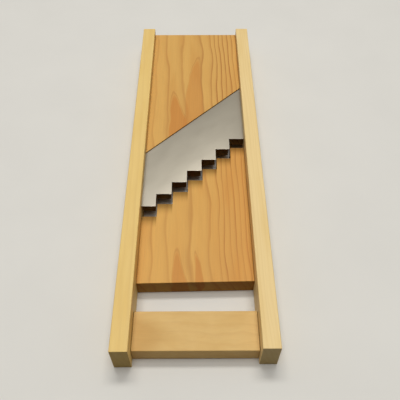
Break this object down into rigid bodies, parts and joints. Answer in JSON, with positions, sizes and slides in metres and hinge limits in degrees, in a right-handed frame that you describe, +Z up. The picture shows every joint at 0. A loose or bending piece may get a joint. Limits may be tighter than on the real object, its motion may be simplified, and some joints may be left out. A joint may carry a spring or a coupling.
{
  "type": "vegetable slicer",
  "caption": "Hand slicer with side rails, an upper and a lower board, a diagonal stepped steel blade that cuts strips, a finger slot and a front crossbar.",
  "frame": {"origin": "under the middle of the slicer, on the surface it rests on", "axes": "+X across the slicer to the right rail, +Y from the crossbar to the back end, +Z up"},
  "size_m": [0.1, 0.3216, 0.025],
  "materials": {
    "rail_wood": "planed pale softwood, bare",
    "board_wood": "planed orange pine, bare",
    "crossbar_wood": "planed softwood, grain across the slicer",
    "blade_steel": "satin",
    "nail_steel": "dull"
  },
  "bodies": {
    "root": {"left_rail": "rail_wood", "right_rail": "rail_wood", "upper_board": "board_wood", "lower_board": "board_wood", "crossbar": "crossbar_wood", "blade": "blade_steel", "upper_board_nails": "nail_steel", "lower_board_nails": "nail_steel", "crossbar_nails": "nail_steel"}
  },
  "joints": []
}
